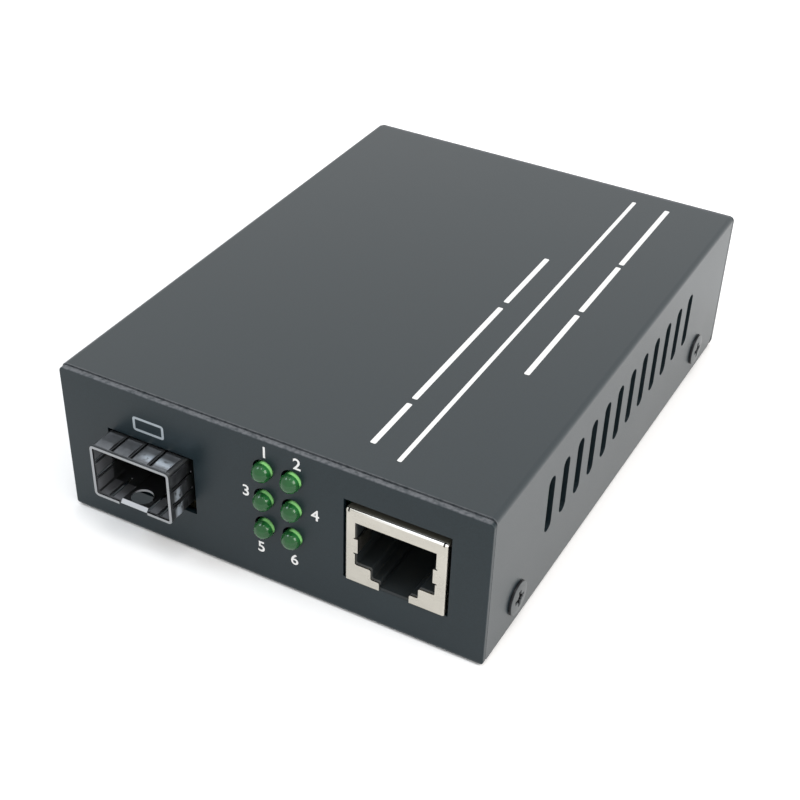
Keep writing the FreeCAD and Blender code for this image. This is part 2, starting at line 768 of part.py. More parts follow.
def finger_side(lift, bow):
    """Long edge of a finger at a height over the cage: band, curved front, slope and level foot."""
    start = cage_mouth + collar_band
    end = front - finger_end_gap
    root = vec(0, start, lift)
    bulge = vec(0, start + finger_rise / 2, lift + bow * 3 / 4)
    crest = vec(0, start + finger_rise, lift + bow)
    foot = vec(0, end - finger_foot, lift)
    return [
        Part.LineSegment(vec(0, cage_mouth, lift), root).toShape(),
        Part.Arc(root, bulge, crest).toShape(),
        Part.LineSegment(crest, foot).toShape(),
        Part.LineSegment(foot, vec(0, end, lift)).toShape(),
    ]


def finger(width, middle, surface, outward, bow):
    """Finger that curves up from the collar's band to a crest and slopes back down to the cage.

    The middle is its place across the surface, and outward is the axis letter with its sign.
    """
    under = finger_side(0, bow)
    over = finger_side(collar_sheet, bow)
    ends = []
    for y in (cage_mouth, front - finger_end_gap):
        ends.append(Part.LineSegment(vec(0, y, 0), vec(0, y, collar_sheet)).toShape())
    outline = Part.Wire(under + [ends[1]] + over[::-1] + [ends[0]])
    solid = Part.Face(outline).extrude(vec(width, 0, 0))
    solid.translate(vec(-width / 2, 0, 0))
    angle = {"+z": 0, "+x": 90, "-z": 180, "-x": 270}[outward]
    solid.rotate(vec(0, 0, 0), vec(0, 1, 0), angle)
    across = (middle, 0, surface) if outward[1] == "z" else (surface, 0, middle)
    solid.translate(vec(*across))
    return solid


def make_sfp_spring_collar():
    """Collar folded over the cage's mouth, with sprung fingers outside and inside on all four sides."""
    rim = cage_block(-collar_sheet, (cage_mouth - collar_sheet, cage_mouth + collar_band))
    gap = tongue_width + 2 * tongue_slit
    rim = rim.cut([
        cage_block(0, (cage_mouth, cage_mouth + collar_band + past)),
        cage_block(cage_sheet + collar_sheet, (cage_mouth - past, cage_mouth + past)),
        block(about(cage_x, gap), (cage_mouth - past, cage_mouth + past),
              (cage_bottom - past, cage_bottom + cage_corner)),
    ])
    fingers = []
    for outward, surface, span, count in finger_rows():
        width, middles = spread(span, count)
        sign = 1 if outward[0] == "+" else -1
        inner = surface - sign * cage_sheet
        inward = {1: "-", -1: "+"}[sign] + outward[1]
        for middle in middles:
            fingers.append(finger(width, middle, surface, outward, finger_bow))
            fingers.append(finger(width, middle, inner, inward, inner_bow))
    return rim.fuse(fingers).removeSplitter()


def make_sfp_connector():
    """Board connector with a slot for the module's edge."""
    top = board_top + connector_height
    body = block(about(cage_x, connector_width), (connector_front, connector_rear), (board_top, top))
    slot_y = (connector_front - past, connector_front + card_slot_depth)
    slot_z = about(board_top + card_slot_lift, card_slot_height)
    slot = block(about(cage_x, card_slot_width), slot_y, slot_z)
    return body.cut(slot)


def make_sfp_contacts():
    """Soldered feet and legs of the connector's two rows of contacts."""
    half = contact_thickness / 2
    contacts = []
    for way, face, leg in ((-1, connector_front, contact_leg_front), (1, connector_rear, contact_leg_rear)):
        upright = face + way * half
        path = [(upright + way * contact_foot, board_top + half), (upright, board_top + half),
                (upright, board_top + leg)]
        for i in range(contact_count):
            x = cage_x + (i - (contact_count - 1) / 2) * contact_pitch
            contacts.append(bent_strip(path, contact_thickness, about(x, contact_width)))
    return Part.makeCompound(contacts)


def make_led(x, z):
    """Round lamp with a domed tip that points forwards and a flange at its back."""
    straight = led_length - led_r
    lines = [(0, 0), (led_flange_r, 0), (led_flange_r, led_flange), (led_r, led_flange), (led_r, straight)]
    slant = led_r * math.sqrt(0.5)
    lamp = turned_profile(lines, (slant, straight + slant), (0, led_length))
    return placed(lamp, (x, led_back, z), (0, -1, 0))


def make_led_leads():
    """Two legs for each lamp, through the holder and down into the board."""
    leads = []
    for x, y, z in lead_places():
        path = [(led_back, z), (y, z), (y, board_bottom - pin_reach)]
        leads.append(bent_strip(path, lead_size, about(x, lead_size)))
    return Part.makeCompound(leads)


def make_led_holder():
    """Moulded spacer that carries the lamps on the board."""
    reach = led_flange_r + holder_margin
    columns = [x for x, _, _ in led_places()]
    top = max(z for _, z, _ in led_places()) + reach
    body = block((min(columns) - reach, max(columns) + reach), (led_back, holder_back), (board_top, top))
    hole = lead_size + 2 * holder_hole_gap
    through = (led_back - past, holder_back + past)
    return body.cut([block(about(x, hole), through, about(z, hole)) for x, _, z in lead_places()])


def make_dc_jack_housing():
    """Moulded inlet: square collar, round-backed body, deep bore, and slots for its two contacts."""
    collar = block(about(inlet_x, inlet_width), (inlet_face - inlet_collar, inlet_face),
                   (board_top, board_top + inlet_height))
    collar = rounded(collar, inlet_corner, 1, lambda point: point.z > board_top + inlet_axis)
    body_y = (inlet_back, inlet_face - inlet_collar)
    lower = block(about(inlet_x, inlet_body_width), body_y, (board_top, inlet_z))
    upper = rod(inlet_body_width / 2, (inlet_x, body_y[0], inlet_z), (inlet_x, body_y[1], inlet_z))
    bore_floor = inlet_face - inlet_bore_depth
    gap = 2 * pin_hole_gap
    slot_y = (inlet_face - inlet_spring_back - inlet_spring / 2 - pin_hole_gap,
              inlet_face - inlet_spring_front + pin_hole_gap)
    slot_z = (board_top - past, inlet_z - inlet_pin_r - gap)
    bottom = (inlet_x, bore_floor, inlet_z)
    return collar.fuse([lower, upper]).removeSplitter().cut([
        rod(inlet_bore_r, bottom, (inlet_x, inlet_face + past, inlet_z)),
        rod(inlet_pin_r + thread_gap, (inlet_x, inlet_back - past, inlet_z), bottom),
        block(about(inlet_x, inlet_spring_width + gap), slot_y, slot_z),
    ])


def make_dc_jack_pin():
    """Centre pin with a domed tip, fixed to a terminal behind the housing."""
    length = inlet_face - inlet_pin_back - inlet_back
    slant = inlet_pin_r * math.sqrt(0.5)
    straight = length - inlet_pin_r
    lines = [(0, 0), (inlet_pin_r, 0), (inlet_pin_r, straight)]
    pin = turned_profile(lines, (slant, straight + slant), (0, length))
    pin = placed(pin, (inlet_x, inlet_back, inlet_z), (0, 1, 0))
    terminal = block(about(inlet_x, inlet_terminal_width), (inlet_back - inlet_terminal, inlet_back),
                     (board_bottom - pin_reach, inlet_z + inlet_terminal_width / 2))
    return pin.fuse(terminal)


def make_dc_jack_spring():
    """Sleeve contact that rises into the bore."""
    foot = inlet_face - inlet_spring_back
    bore_bottom = inlet_z - inlet_bore_r
    path = [(foot, board_bottom - pin_reach), (foot, bore_bottom),
            (inlet_face - inlet_spring_front, bore_bottom + inlet_spring_rise)]
    return bent_strip(path, inlet_spring, about(inlet_x, inlet_spring_width))


def gull_wings(middle, body_y, level, count, pitch):
    """Rows of bent leads at both y faces of a chip body, down from a level to the board."""
    leads = []
    foot = board_top + solder_lift
    for way, face in ((-1, body_y[0]), (1, body_y[1])):
        shoulder = face + way * lead_shoulder
        path = [(face, level), (shoulder, level), (shoulder, foot), (shoulder + way * lead_foot, foot)]
        for i in range(count):
            x = middle + (i - (count - 1) / 2) * pitch
            leads.append(bent_strip(path, lead_thickness, about(x, lead_width)))
    return leads


def board_part(size, x, y, lift):
    """Block of a size that stands on the board."""
    return block(about(x, size[0]), about(y, size[1]), (board_top + lift, board_top + lift + size[2]))


def make_magnetics():
    return board_part(magnetics_size, magnetics_x, magnetics_y, body_lift)


def make_magnetics_leads():
    level = board_top + body_lift + magnetics_size[2] / 4
    span = about(magnetics_y, magnetics_size[1])
    leads = gull_wings(magnetics_x, span, level, magnetics_lead_count, magnetics_pitch)
    return Part.makeCompound(leads)


def make_converter_chip():
    return board_part(chip_size, 0, chip_y, body_lift)


def make_converter_chip_leads():
    """Leads on all four sides of the square chip."""
    level = board_top + body_lift + chip_size[2] / 2
    span = about(chip_y, chip_size[1])
    rows = Part.makeCompound(gull_wings(0, span, level, chip_lead_count, chip_pitch))
    turned = rows.copy()
    turned.rotate(vec(0, chip_y, 0), vec(0, 0, 1), 90)
    return Part.makeCompound(rows.Solids + turned.Solids)


def make_crystal():
    """Flat metal can with round ends."""
    can = board_part(crystal_size, chip_reach + crystal_from_chip, chip_y, 0)
    return rounded(can, crystal_size[0] / 2 - press_gap, 2)


def make_bulk_capacitors():
    """Upright cans beside the inlet."""
    cans = []
    for i in range(capacitor_count):
        point = (inlet_x - capacitor_from_inlet, rear - capacitor_back - i * capacitor_pitch, board_top)
        can = rod(capacitor_r, point, (point[0], point[1], board_top + capacitor_height))
        top = [edge for edge in can.Edges if abs(edge.BoundBox.ZMin - board_top - capacitor_height) < 1e-6]
        cans.append(can.makeChamfer(capacitor_edge, top))
    return Part.makeCompound(cans)


def make_power_inductor():
    body = board_part(inductor_size, inlet_x - inductor_from_inlet, rear - inductor_back, 0)
    return body.makeChamfer(inductor_chamfer, edges_along(body, 2, lambda point: True))


def regulator_place():
    return (inlet_x - inductor_from_inlet, rear - regulator_back)


def make_regulator():
    x, y = regulator_place()
    return board_part(regulator_size, x, y, lead_thickness)


def make_regulator_tab():
    """Cooling tab on one side of the regulator and three leads on the other, all soldered to the board."""
    x, y = regulator_place()
    level = board_top + lead_thickness / 2
    half = regulator_size[1] / 2
    tab_path = [(y, level), (y + half + lead_foot, level)]
    metal = [bent_strip(tab_path, lead_thickness, about(x, regulator_tab_width))]
    lead_path = [(y - half - lead_foot, level), (y - half / 2, level)]
    for i in (-1, 0, 1):
        metal.append(bent_strip(lead_path, lead_thickness, about(x + i * regulator_pitch, lead_width)))
    return Part.makeCompound(metal)


def make_chip_resistors():
    """Column of small parts to the right of the chip."""
    x = chip_reach + resistor_from_chip
    middle = (resistor_count - 1) / 2
    places = [chip_y + (i - middle) * resistor_pitch for i in range(resistor_count)]
    return Part.makeCompound([board_part(resistor_size, x, y, 0) for y in places])


def make_chip_capacitors():
    """Row of small parts behind the chip."""
    y = chip_y + chip_reach + chip_capacitor_from_chip
    middle = (chip_capacitor_count - 1) / 2
    places = [(i - middle) * chip_capacitor_pitch for i in range(chip_capacitor_count)]
    return Part.makeCompound([board_part(chip_capacitor_size, x, y, 0) for x in places])


pieces = {
    "top_cover": make_top_cover(),
    "base_chassis": make_base_chassis(),
    "cover_screws": make_cover_screws(),
    "circuit_board": make_circuit_board(),
    "board_standoffs": make_board_standoffs(),
    "board_screws": make_board_screws(),
    "sfp_cage": make_sfp_cage(),
    "sfp_spring_collar": make_sfp_spring_collar(),
    "sfp_connector": make_sfp_connector(),
    "sfp_contacts": make_sfp_contacts(),
    "rj45_shield": make_rj45_shield(),
    "rj45_housing": make_rj45_housing(),
    "rj45_contacts": make_rj45_contacts(),
    "led_leads": make_led_leads(),
    "led_holder": make_led_holder(),
    "dc_jack_housing": make_dc_jack_housing(),
    "dc_jack_pin": make_dc_jack_pin(),
    "dc_jack_spring": make_dc_jack_spring(),
    "magnetics": make_magnetics(),
    "magnetics_leads": make_magnetics_leads(),
    "converter_chip": make_converter_chip(),
    "converter_chip_leads": make_converter_chip_leads(),
    "crystal": make_crystal(),
    "bulk_capacitors": make_bulk_capacitors(),
    "power_inductor": make_power_inductor(),
    "regulator": make_regulator(),
    "regulator_tab": make_regulator_tab(),
    "chip_resistors": make_chip_resistors(),
    "chip_capacitors": make_chip_capacitors(),
}
for number, (x, z, _) in enumerate(led_places(), 1):
    pieces["led_%d" % number] = make_led(x, z)

os.makedirs("parts", exist_ok=True)
for name, shape in pieces.items():
    shape.exportStep("parts/%s.step" % name)
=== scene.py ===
"""Looks of a small network media converter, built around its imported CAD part."""

import math

import bpy
import numpy as np
from bpy.props import FloatProperty, FloatVectorProperty, PointerProperty
from mathutils import Matrix, Vector


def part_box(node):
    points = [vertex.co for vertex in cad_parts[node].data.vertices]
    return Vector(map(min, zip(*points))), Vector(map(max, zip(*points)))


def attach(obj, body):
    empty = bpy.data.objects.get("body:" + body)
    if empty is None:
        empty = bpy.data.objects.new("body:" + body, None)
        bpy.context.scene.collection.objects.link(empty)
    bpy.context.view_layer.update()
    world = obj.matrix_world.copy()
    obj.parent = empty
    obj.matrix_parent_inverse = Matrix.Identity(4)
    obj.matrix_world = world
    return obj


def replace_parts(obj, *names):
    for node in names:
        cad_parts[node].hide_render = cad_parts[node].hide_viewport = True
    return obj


bl_info = {
    "name": "Media Converter Looks",
    "version": (1, 0, 0),
    "blender": (4, 5, 0),
    "location": "View3D > Sidebar > Converter",
    "description": "Finishes, lamps, screws, print and a studio stage for a packed media converter",
    "category": "Object",
}

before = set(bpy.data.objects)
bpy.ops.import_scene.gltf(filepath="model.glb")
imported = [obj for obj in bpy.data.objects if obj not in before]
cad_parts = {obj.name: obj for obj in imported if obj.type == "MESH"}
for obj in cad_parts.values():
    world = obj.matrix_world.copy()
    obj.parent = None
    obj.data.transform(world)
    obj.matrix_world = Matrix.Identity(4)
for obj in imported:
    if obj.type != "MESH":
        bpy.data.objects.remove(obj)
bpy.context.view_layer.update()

MM = 0.001
X, Y, Z = range(3)
ROOT = "root"
LAMPS = ["led_%d" % number for number in range(1, 7)]
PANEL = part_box("base_chassis")[0][1]

# Edges that turn by more degrees than this stay sharp
CREASE = 35.0

# Sheet metal: size, stretch and depth of the rolling streaks, and size of the blotches in the plating
STREAK_SIZE = 0.12 * MM
STREAK_STRETCH = 30.0
STREAK_DEPTH = 0.004 * MM
BLOTCH_SIZE = 3.0 * MM

# Cover screws: crown over the rim, how far below it the coat reaches, slope of the recess, and shank
CROWN_HEIGHT = 0.15 * MM
COAT_REACH = 0.07 * MM
RECESS_SLOPE = 0.12 * MM
SHANK_LENGTH = 2.9 * MM
SHANK_RADIUS = 1.5 * MM
SHANK_CHAMFER = 0.3 * MM

# Ports: depth of the cage's rim, share of its colour kept behind the rim as a painted shade, depth and start
# of the jack's lip, which is painted lighter as a painted light
RIM_DEPTH = 0.45 * MM
INNER_SHADE_SHARE = 0.42
LIP_DEPTH = 0.4 * MM
LIP_START = 0.8 * MM

# Print, in millimetres from the left side and the front face, or above the table on the panel
COVER_MARKS = (
    ((53.93, 54.64), (5.2, 92.3)),
    ((48.7, 49.6), (7.0, 17.9)),
    ((48.7, 49.6), (19.2, 48.1)),
    ((48.7, 49.6), (49.9, 65.9)),
    ((60.0, 60.9), (33.2, 52.3)),
    ((60.0, 60.9), (53.6, 69.5)),
    ((60.0, 60.9), (70.5, 92.3)),
)
LAMP_NUMBERS = (
    ("1", 35.8, 23.3),
    ("2", 41.15, 23.3),
    ("3", 32.45, 15.2),
    ("4", 44.05, 15.4),
    ("5", 34.75, 5.5),
    ("6", 40.45, 5.5),
)
PORT_MARK = ((12.95, 18.45), (19.55, 22.05))

# Corner of the printed bars, and corner and line width of the mark over the cage
BAR_CORNER = 0.24 * MM
PORT_MARK_CORNER = 0.5 * MM
PORT_MARK_LINE = 0.42 * MM

# Numbers: height as a share of the font's size, and weight as a share of that height
NUMBER_SHARE = 0.7
NUMBER_WEIGHT = 0.02

# Stage: half the floor's width, points along it, the camera's sensor in millimetres and its nearest sight
FLOOR_HALF = 3.0
FLOOR_POINTS = 9
SENSOR_WIDTH = 36.0
NEAREST_SIGHT = 0.01

# Window lights: name, the way to it from the part, width in metres and colour
WINDOWS = (
    ("window_left", (-0.52, -0.30, 0.79), 0.2, (0.8, 0.9, 1.0)),
    ("window_above", (0.09, -0.21, 0.97), 0.14, (1.0, 1.0, 1.0)),
    ("window_right", (0.82, -0.10, 0.56), 0.38, (1.0, 0.96, 0.92)),
)


# Shader maths

class Wire:
    """A shader socket that takes part in Python expressions; each operator adds one Math node."""

    def __init__(self, tree, socket=None):
        self.tree = tree
        self.socket = socket

    def fill(self, node, values):
        """Gives each named input of a node a value or a link."""
        for key, value in values.items():
            if isinstance(value, Wire):
                self.tree.links.new(value.socket, node.inputs[key])
            else:
                node.inputs[key].default_value = value

    def node(self, kind, settings=None, values=None, output=0):
        """Adds a node of a kind: settings are set first, then each input gets a value or a link."""
        made = self.tree.nodes.new("ShaderNode" + kind)
        for key, value in (settings or {}).items():
            setattr(made, key, value)
        self.fill(made, values or {})
        return Wire(self.tree, made.outputs[output])

    def math(self, operation, first, second=0.0, clamp=False):
        return self.node("Math", {"operation": operation, "use_clamp": clamp}, {0: first, 1: second})

    def __add__(self, other):
        return self.math("ADD", self, other)

    __radd__ = __add__

    def __mul__(self, other):
        return self.math("MULTIPLY", self, other)

    __rmul__ = __mul__

    def __sub__(self, other):
        return self.math("SUBTRACT", self, other)

    def __rsub__(self, other):
        return self.math("SUBTRACT", other, self)

    def __abs__(self):
        return self.math("ABSOLUTE", self)

    def clamped(self):
        return self.math("ADD", self, 0.0, clamp=True)


def new_material(name):
    """A named material, its Principled shader, a wire to build its nodes from, and its Object coordinates."""
    material = bpy.data.materials.new(name)
    material.use_nodes = True
    tree = material.node_tree
    wire = Wire(tree)
    return material, tree.nodes["Principled BSDF"], wire, wire.node("TexCoord", output="Object")


def past(value, start, width):
    """0 where a value is short of a start, rising to 1 where it is past it by a width."""
    return ((value - start) * (1 / width)).clamped()


def sharpened(value, gain, less):
    """Value times a gain, less an amount, kept between 0 and 1."""
    return (value * gain - less).clamped()


def swing(value, spread):
    """Noise about its middle, times a spread."""
    return (value - 0.5) * spread


def coordinate(wire, vector, axis):
    """One coordinate of a vector, by the number of its axis."""
    return wire.node("SeparateXYZ", {}, {0: vector}, output=axis)


def facing_way(wire):
    """The way that the surface faces."""
    return wire.node("NewGeometry", output="Normal")


def rgba(colour, share=1.0):
    """Share of a colour, with full alpha."""
    return tuple(channel * share for channel in colour[:3]) + (1.0,)


def mixed(wire, factor, first, second):
    """Colour between two colours."""
    return wire.node("Mix", {"data_type": "RGBA"}, {0: factor, 6: first, 7: second}, output=2)


def toned(wire, factor, colour, low, high):
    """Colour that goes from a low share of itself to a high one."""
    return mixed(wire, factor, rgba(colour, low), rgba(colour, high))


def noise(wire, place, size, detail=2.0, stretch=(1.0, 1.0, 1.0)):
    """Noise whose blobs have about the given size in metres, stretched along the axes."""
    scaled = wire.node("Mapping", {}, {"Vector": place, "Scale": tuple(1 / (size * s) for s in stretch)})
    return wire.node("TexNoise", {}, {"Vector": scaled, "Scale": 1.0, "Detail": detail}, output="Fac")


def bumped(wire, height, depth, strength):
    """Normal that follows a height of a depth in metres."""
    return wire.node("Bump", {}, {"Height": height, "Distance": depth, "Strength": strength})


# Finishes

def powder_coat(name, look, edges, worn_and_highlighted, gloss):
    """Fine satin coat: a grain of tiny blobs, broad clouds in tone, and paler along the sheet's edges.

    An edge is an axis number and the place of a flat edge on it; the paleness fades over a set width. It is
    partly edge wear and partly a painted highlight along the edges.
    """
    material, shader, wire, here = new_material(name)
    grain = noise(wire, here, look.grain_size, detail=3.0)
    clouds = noise(wire, here, look.cloud_size)
    patches = noise(wire, here, size=0.6 * MM, detail=3.0)
    near = None
    for axis, place in edges:
        rim = past(look.wear_and_highlight_width, abs(coordinate(wire, here, axis) - place), look.wear_and_highlight_width)
        near = rim if near is None else wire.math("MAXIMUM", near, rim)
    # Paler along the edges: partly edge wear, partly a painted highlight
    wear_and_highlight = (near * (patches * 2.4 - 0.4)).clamped() * worn_and_highlighted
    coat = toned(wire, clouds, look.coat_colour, low=0.88, high=1.12)
    speckled = mixed(wire, sharpened(grain, gain=2.5, less=0.9), coat, rgba(look.coat_colour, share=1.35))
    wire.fill(shader, {
        "Base Color": mixed(wire, wear_and_highlight, speckled, rgba(look.wear_and_highlight_colour)),
        "Roughness": look.coat_roughness + swing(grain, 0.12) + swing(clouds, 0.05) + wear_and_highlight * 0.15,
        "Specular IOR Level": gloss,
        "Normal": bumped(wire, grain, look.grain_depth, strength=0.6),
    })
    return material


def plating(wire, here, grain_axis, colour):
    """Colour, change of roughness and normal of plated sheet.

    Long fine rolling streaks run along an axis, and the plating has faint blotches.
    """
    stretch = [1.0, 1.0, 1.0]
    stretch[grain_axis] = STREAK_STRETCH
    streaks = noise(wire, here, STREAK_SIZE, stretch=stretch)
    blotches = noise(wire, here, BLOTCH_SIZE, detail=3.0)
    plate = toned(wire, blotches, colour, low=0.86, high=1.06)
    dullness = swing(streaks, 0.16) + swing(blotches, 0.1)
    return plate, dullness, bumped(wire, streaks, STREAK_DEPTH, strength=0.4)


def sheet_metal(name, colour, roughness, grain_axis=Y, painted_light_and_shade=(1.0, 1.0)):
    """Plated sheet, with its rolling streaks along an axis.

    Behind a place on Y the sheet is darker, keeping a share of its colour: a painted shade.
    """
    material, shader, wire, here = new_material(name)
    plate, dullness, normal = plating(wire, here, grain_axis, colour)
    shade_from, share = painted_light_and_shade
    # Painted shade: darker behind a place on Y
    behind = past(coordinate(wire, here, Y), shade_from, width=0.2 * MM)
    wire.fill(shader, {
        "Base Color": mixed(wire, behind, plate, rgba(colour, share)),
        "Metallic": 1.0,
        "Roughness": (roughness + dullness).clamped(),
        "Normal": normal,
    })
    return material


def shield_plate(name, look, low, high):
    """Nickel plate of the jack's shield between two corners, with streaks along X.

    The rounded edge at the top of its face has a painted highlight, stronger towards the right, and the top
    behind that edge is painted a dull dark brown as a painted shade.
    """
    edge_height = 0.45 * MM
    edge_depth = 0.4 * MM
    material, shader, wire, here = new_material(name)
    plate, dullness, normal = plating(wire, here, X, look.shield_colour)
    x, y, z = [coordinate(wire, here, axis) for axis in (X, Y, Z)]
    up = coordinate(wire, facing_way(wire), Z)
    topmost = past(z, high[2] - edge_height, width=0.1 * MM)
    rightward = sharpened(x - low[0], gain=2 / (high[0] - low[0]), less=0.2)
    # Painted highlight along the rounded top edge of the face
    painted_highlight = topmost * rightward * sharpened(up, gain=4, less=0.4)
    # Painted shade: the top behind the edge is dark brown
    behind = topmost * past(y, low[1] + edge_depth, width=0.1 * MM)
    face = mixed(wire, painted_highlight, plate, rgba(look.shield_highlight_colour))
    wire.fill(shader, {
        "Base Color": mixed(wire, behind, face, rgba(look.shield_top_shade_colour)),
        "Metallic": 1 - behind,
        "Roughness": 0.3 + dullness + behind * 0.4,
        "Normal": normal,
    })
    return material


def spring_sheet(name, look, low, high):
    """Spring sheet of the collar between two corners: a lighter front edge, and dark fingers with painted
    light and shade and painted highlights.

    Depth is how far a point lies inside the collar's box: near 0 on the outer crests, more on the inner
    fingers. The painted highlights, a painted reflection, are to the right, on the top fingers and on the
    lower two at the side. The top fingers are painted lighter than the side ones.
    """
    edge_depth = 0.25 * MM
    inner_depth = 0.36 * MM
    crest_depth = 0.07 * MM
    rubbed_from = 0.6 * MM
    lower_two = 2 / 3
    material, shader, wire, here = new_material(name)
    blotches = noise(wire, here, size=1.6 * MM, detail=3.0)
    patches = noise(wire, here, size=0.9 * MM)
    x, y, z = [coordinate(wire, here, axis) for axis in (X, Y, Z)]
    middle = (low[0] + high[0]) / 2
    aside = (high[0] - low[0]) / 2 - abs(x - middle)
    level = (high[2] - low[2]) / 2 - abs(z - (low[2] + high[2]) / 2)
    depth = wire.math("MINIMUM", aside, level)
    behind = past(y, low[1] + edge_depth, width=0.2 * MM)
    inside = past(depth, inner_depth, width=0.04 * MM)
    crest = past(crest_depth, depth, crest_depth)
    highlight_side = past(x, middle + rubbed_from, width=1.8 * MM)
    lower = past(low[2] + (high[2] - low[2]) * lower_two, z, width=0.3 * MM)
    topmost = past(aside, level, width=0.1 * MM)
    highlight_places = highlight_side * wire.math("MAXIMUM", lower, topmost)
    # Painted highlight: light-blue spots on the crests, a painted reflection
    worn_and_highlighted = (crest * highlight_places * sharpened(patches, gain=5, less=1.4) * 1.3).clamped()
    # Painted light and shade: the top fingers are lighter than the side ones
    tone = (blotches * 0.5 + topmost * 0.45).clamped()
    painted_light_and_shade = toned(wire, tone, look.finger_colour, low=0.1, high=1.85)
    fingers = mixed(wire, inside, painted_light_and_shade, rgba(look.inner_colour))
    wear_and_highlight = mixed(wire, worn_and_highlighted, fingers, rgba(look.crest_highlight_colour))
    wire.fill(shader, {
        "Base Color": mixed(wire, behind, rgba(look.collar_colour), wear_and_highlight),
        "Metallic": 1.0,
        "Roughness": 0.3 + behind * 0.2 + swing(blotches, 0.15),
        "Normal": bumped(wire, blotches, depth=0.02 * MM, strength=0.5),
    })
    return material


def screw_coat_and_shade(name, look, crown):
    """Dark metal whose flat crown has the case's coat; the crown lies past a distance from X = 0. The dark
    rim and recess are a painted shade.
    """
    material, shader, wire, here = new_material(name)
    grain = noise(wire, here, look.grain_size, detail=3.0)
    # Below the crown the rim and the cross recess are painted dark: a painted shade
    coated = past(abs(coordinate(wire, here, X)), crown, width=0.06 * MM)
    wire.fill(shader, {
        "Base Color": mixed(wire, coated, rgba(look.screw_shade_colour), rgba(look.coat_colour)),
        "Metallic": 1 - coated,
        "Roughness": look.coat_roughness + swing(grain, 0.15),
        "Specular IOR Level": 0.85,
        "Normal": bumped(wire, grain, look.grain_depth, strength=0.6),
    })
    return material


def moulding(name, colour, roughness, lip=(-1.0, 0.0, (0.0, 0.0, 0.0))):
    """Moulded plastic: a fine spark-eroded texture and small changes of gloss.

    In front of a place on Y and above one on Z the plastic has the lip's lighter colour: a painted light.
    """
    material, shader, wire, here = new_material(name)
    texture = noise(wire, here, size=0.15 * MM)
    flow = noise(wire, here, size=4.0 * MM)
    lip_y, lip_z, lit_lip_colour = lip
    ahead = past(lip_y, coordinate(wire, here, Y), width=0.1 * MM)
    # Painted light: the lip at the front of the opening is lighter
    lit_lip = ahead * past(coordinate(wire, here, Z), lip_z, width=0.1 * MM)
    plastic = toned(wire, flow, colour, low=0.8, high=1.2)
    wire.fill(shader, {
        "Base Color": mixed(wire, lit_lip, plastic, rgba(lit_lip_colour)),
        "Roughness": roughness + swing(texture, 0.15) + swing(flow, 0.1),
        "Specular IOR Level": 0.3,
        "Normal": bumped(wire, texture, depth=0.006 * MM, strength=0.5),
    })
    return material


def lamp_epoxy(name, look):
    """Tinted epoxy, deep in the dome; painted light: paler on the shoulder, a bright crescent by the panel.
    """
    material, shader, wire, here = new_material(name)
    flow = noise(wire, here, size=0.9 * MM)
    band = past(coordinate(wire, here, Y), PANEL - look.glow_reach, look.glow_reach / 3)
    ways = {0: facing_way(wire), 1: look.glow_way}
    towards = wire.node("VectorMath", {"operation": "DOT_PRODUCT"}, ways, output="Value")
    # Painted light: a bright crescent where the lens leaves the panel, facing up and right
    crescent = band * sharpened(towards, gain=3, less=1.3)
    lens = toned(wire, flow, look.lens_colour, low=0.85, high=1.15)
    # Painted light: the shoulder facing the same way is paler
    lit_shoulder = mixed(wire, sharpened(towards, gain=5, less=3.9), lens, rgba(look.lens_colour, share=1.9))
    wire.fill(shader, {
        "Base Color": mixed(wire, crescent, lit_shoulder, rgba(look.crescent_light_colour)),
        "Roughness": look.lens_roughness + swing(flow, 0.04),
        "IOR": 1.5,
        "Specular IOR Level": 0.4,
    })
    return material


def solder_mask(name, look):
    """Green board: fine copper runs under the mask, and bare laminate at the cut edges."""
    material, shader, wire, here = new_material(name)
    runs = wire.node("TexBrick", {"offset": 0.37}, {
        "Vector": here,
        "Scale": 180.0,
        "Mortar Size": 0.09,
        "Mortar Smooth": 0.1,
        "Color1": rgba(look.mask_colour),
        "Color2": rgba(look.mask_colour, share=0.8),
        "Mortar": rgba(look.mask_colour, share=1.7),
    })
    up = abs(coordinate(wire, facing_way(wire), Z))
    cut = (1 - up * 2).clamped()
    weave = noise(wire, here, size=0.3 * MM)
    wire.fill(shader, {
        "Base Color": mixed(wire, cut, runs, rgba(look.laminate_colour)),
        "Roughness": 0.35 + cut * 0.3 + swing(weave, 0.1),
        "Normal": bumped(wire, weave, depth=0.01 * MM, strength=0.3),
    })
    return material


def printed_ink(name, colour):
    """Screen-printed ink, a little thin in places."""
    material, shader, wire, here = new_material(name)
    mesh = noise(wire, here, size=0.12 * MM)
    wire.fill(shader, {
        "Base Color": toned(wire, mesh, colour, low=0.86, high=1.0),
        "Roughness": 0.45 + swing(mesh, 0.2),
    })
    return material


def floor_finish(name, tone):
    """Pale seamless paper."""
    material, shader, wire, here = new_material(name)
    fibre = noise(wire, here, size=2.0 * MM, detail=3.0)
    wire.fill(shader, {
        "Base Color": toned(wire, fibre, (tone, tone, tone), low=0.995, high=1.0),
        "Roughness": 0.8 + swing(fibre, 0.05),
    })
    return material


# Meshes

def dress(node, material):
    """Gives a CAD node its finish."""
    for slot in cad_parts[node].material_slots:
        slot.material = material


def add_piece(name, points, faces, material):
    """Mesh object at the origin from an array of points and a list of face arrays, riding on the part."""
    mesh = bpy.data.meshes.new(name)
    polygons = [row for block in faces for row in np.asarray(block).tolist()]
    mesh.from_pydata(np.asarray(points).tolist(), [], polygons)
    mesh.materials.append(material)
    mesh.polygons.foreach_set("use_smooth", np.ones(len(mesh.polygons), dtype=bool))
    mesh.set_sharp_from_angle(angle=math.radians(CREASE))
    mesh.update()
    piece = bpy.data.objects.new(name, mesh)
    bpy.context.scene.collection.objects.link(piece)
    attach(piece, ROOT)
    return piece


